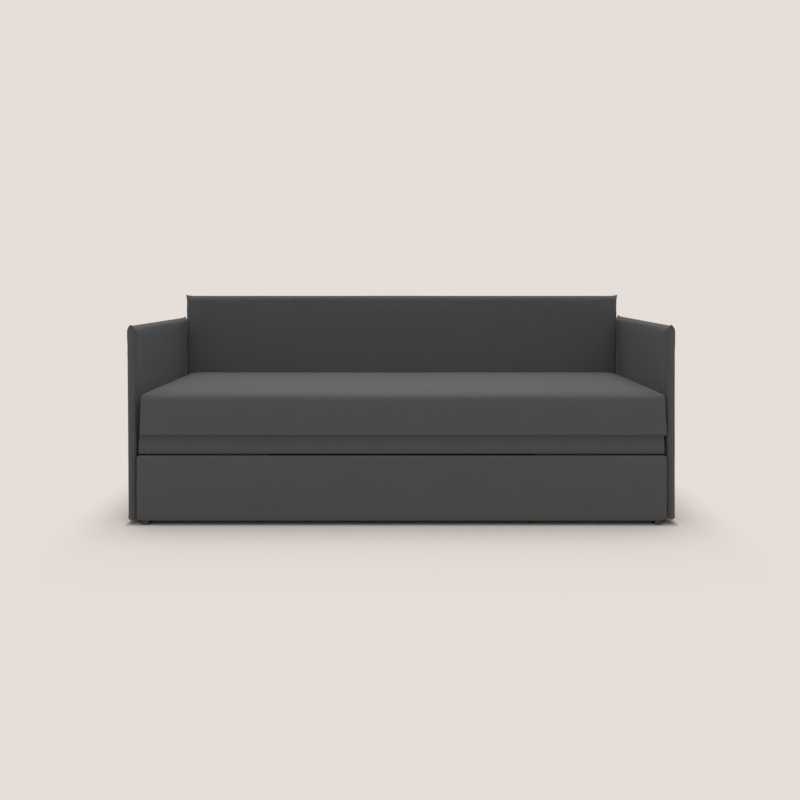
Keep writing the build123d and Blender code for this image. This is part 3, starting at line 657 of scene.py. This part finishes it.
def give_finish(piece, slot):
    piece.data.materials.clear()
    piece.data.materials.append(FINISHES[slot])


def camera():
    data = bpy.data.cameras.new("camera")
    data.sensor_width = SENSOR
    data.lens = FOCAL_PX / PICTURE_SIZE * SENSOR
    data.shift_y = (HORIZON_PX - PICTURE_SIZE / 2) / PICTURE_SIZE
    data.shift_x = (PICTURE_SIZE / 2 - MIDDLE_PX) / PICTURE_SIZE
    made = bpy.data.objects.new("camera", data)
    made.location = CAMERA_PLACE
    made.rotation_euler = (math.pi / 2, 0, 0)
    bpy.context.scene.collection.objects.link(made)
    bpy.context.scene.camera = made


SKY_STRENGTH = 1.05
SIDE_LIGHT = 0.35
# Strength, height and spread of each lamp, in degrees
LAMPS = {"top_light": (2.16, 96, 60), "front_light": (0.66, 20, 40)}
FLOOR_SPAN = 20
FLOOR_SHADE = 0.655
# Half the object's length and depth: beyond them the floor fades into the backdrop over SHADOW_REACH
HALF_SPANS = (1.04, 0.45, 0)
SHADOW_REACH = (0.28, 1.1, 1)
# The floor's colour is painted darker under the object and over this share of the reach beyond it: a
# painted contact shadow
PAINTED_CONTACT_REACH = 0.02
PAINTED_CONTACT_SHADE = 0.6


def surroundings():
    world = bpy.data.worlds.new("surroundings")
    bpy.context.scene.world = world
    world.use_nodes = True
    tree = world.node_tree
    tree.nodes.clear()
    path = tree.nodes.new("ShaderNodeLightPath")
    seen = tree.nodes.new("ShaderNodeMath")
    seen.operation = "MAXIMUM"
    either = tree.nodes.new("ShaderNodeMath")
    either.operation = "MAXIMUM"
    tree.links.new(path.outputs["Is Glossy Ray"], either.inputs[0])
    tree.links.new(path.outputs["Is Transmission Ray"], either.inputs[1])
    tree.links.new(path.outputs["Is Camera Ray"], seen.inputs[0])
    tree.links.new(either.outputs[0], seen.inputs[1])
    # The sky is dimmer towards the two ends, so that the arms' inner faces stay darker than the front
    direction = tree.nodes.new("ShaderNodeTexCoord")
    parts = tree.nodes.new("ShaderNodeSeparateXYZ")
    tree.links.new(direction.outputs["Generated"], parts.inputs[0])
    sideways = tree.nodes.new("ShaderNodeMath")
    sideways.operation = "ABSOLUTE"
    tree.links.new(parts.outputs[0], sideways.inputs[0])
    dimming = tree.nodes.new("ShaderNodeMapRange")
    dimming.inputs["From Min"].default_value = 0
    dimming.inputs["From Max"].default_value = 1
    dimming.inputs["To Min"].default_value = SKY_STRENGTH
    dimming.inputs["To Max"].default_value = SKY_STRENGTH * SIDE_LIGHT
    tree.links.new(sideways.outputs[0], dimming.inputs["Value"])
    light = tree.nodes.new("ShaderNodeBackground")
    light.inputs["Color"].default_value = (1, 1, 1, 1)
    tree.links.new(dimming.outputs[0], light.inputs["Strength"])
    backdrop = tree.nodes.new("ShaderNodeBackground")
    backdrop.inputs["Color"].default_value = (*BACKDROP, 1)
    mix = tree.nodes.new("ShaderNodeMixShader")
    tree.links.new(seen.outputs[0], mix.inputs[0])
    tree.links.new(light.outputs[0], mix.inputs[1])
    tree.links.new(backdrop.outputs[0], mix.inputs[2])
    output = tree.nodes.new("ShaderNodeOutputWorld")
    tree.links.new(mix.outputs[0], output.inputs[0])

    for name, (strength, height, spread) in LAMPS.items():
        data = bpy.data.lights.new(name, "SUN")
        data.energy = strength
        data.angle = math.radians(spread)
        lamp = bpy.data.objects.new(name, data)
        lamp.rotation_euler = (math.radians(90 - height), 0, 0)
        bpy.context.scene.collection.objects.link(lamp)

    corners = [(x * FLOOR_SPAN, y * FLOOR_SPAN, 0) for x, y in ((-1, -1), (1, -1), (1, 1), (-1, 1))]
    floor = clean_mesh("floor", corners, [(0, 1, 2, 3)])
    mat = Nodes("floor_paint")
    place = mat.node("ShaderNodeTexCoord").outputs["Object"]
    # Away from the object the floor turns into the plain backdrop
    spread = mat.node("ShaderNodeVectorMath", {0: place}, operation="ABSOLUTE").outputs[0]
    spread = mat.node("ShaderNodeVectorMath", {0: spread, 1: HALF_SPANS}, operation="SUBTRACT").outputs[0]
    spread = mat.node("ShaderNodeVectorMath", {0: spread, 1: (0, 0, 0)}, operation="MAXIMUM").outputs[0]
    spread = mat.node("ShaderNodeVectorMath", {0: spread, 1: SHADOW_REACH}, operation="DIVIDE").outputs[0]
    distance = mat.node("ShaderNodeVectorMath", {0: spread}, operation="LENGTH").outputs["Value"]
    away = mat.node("ShaderNodeMapRange", {"Value": distance, "From Min": 0.0, "From Max": 1.0})
    away.interpolation_type = "SMOOTHSTEP"
    path = mat.node("ShaderNodeLightPath")
    plain = mat.math("MULTIPLY", away.outputs[0], path.outputs["Is Camera Ray"])
    grain = mat.span(mat.noise(place, 500.0, 3.0), 0.3, 0.7, 0.995, 1.005)
    # Painted contact shadow: near the object's outline the floor's colour is darkened on top of its fine
    # grain
    grain = mat.math("MULTIPLY", grain, mat.span(distance, 0, PAINTED_CONTACT_REACH, PAINTED_CONTACT_SHADE, 1))
    diffuse = mat.node("ShaderNodeBsdfDiffuse")
    mat.put(diffuse.inputs["Color"], mat.tint(tuple(FLOOR_SHADE * part for part in BACKDROP), grain))
    backdrop = mat.node("ShaderNodeEmission", {"Color": (*BACKDROP, 1), "Strength": 1.0})
    mix = mat.node("ShaderNodeMixShader", {0: plain, 1: diffuse.outputs[0], 2: backdrop.outputs[0]})
    mat.put(mat.tree.nodes["Material Output"].inputs["Surface"], mix.outputs[0])
    floor.data.materials.append(mat.material)


bpy.context.scene.view_settings.view_transform = "Standard"
camera()
surroundings()
node_slots = {part["node"]: part["material_slot"] for part in frame["record"]["subparts"]}
for node, piece in frame["nodes"].items():
    give_finish(piece, node_slots[node])
covers = [
    knife_edge_panel("arm_fabric_left", "arm_cover_left", 0, 11, lean=-5 * MM, drop=4 * MM),
    knife_edge_panel("arm_fabric_right", "arm_cover_right", 0, 12, lift=7 * MM),
    knife_edge_panel("back_fabric", "back_cover", 1, 17, widen=2.5 * MM),
]
mattresses = [
    mattress("upper_mattress_fabric", "upper_mattress", "upper_bed", 12 * MM, (MM, -9 * MM), 21),
    mattress("lower_mattress_fabric", "lower_mattress", "base", 3 * MM, (MM, MM), 27),
]
covers += [band_wrap(), front_panel()]
for piece in covers:
    give_finish(piece, "cover_fabric")
for piece in mattresses:
    give_finish(piece, "mattress_fabric")
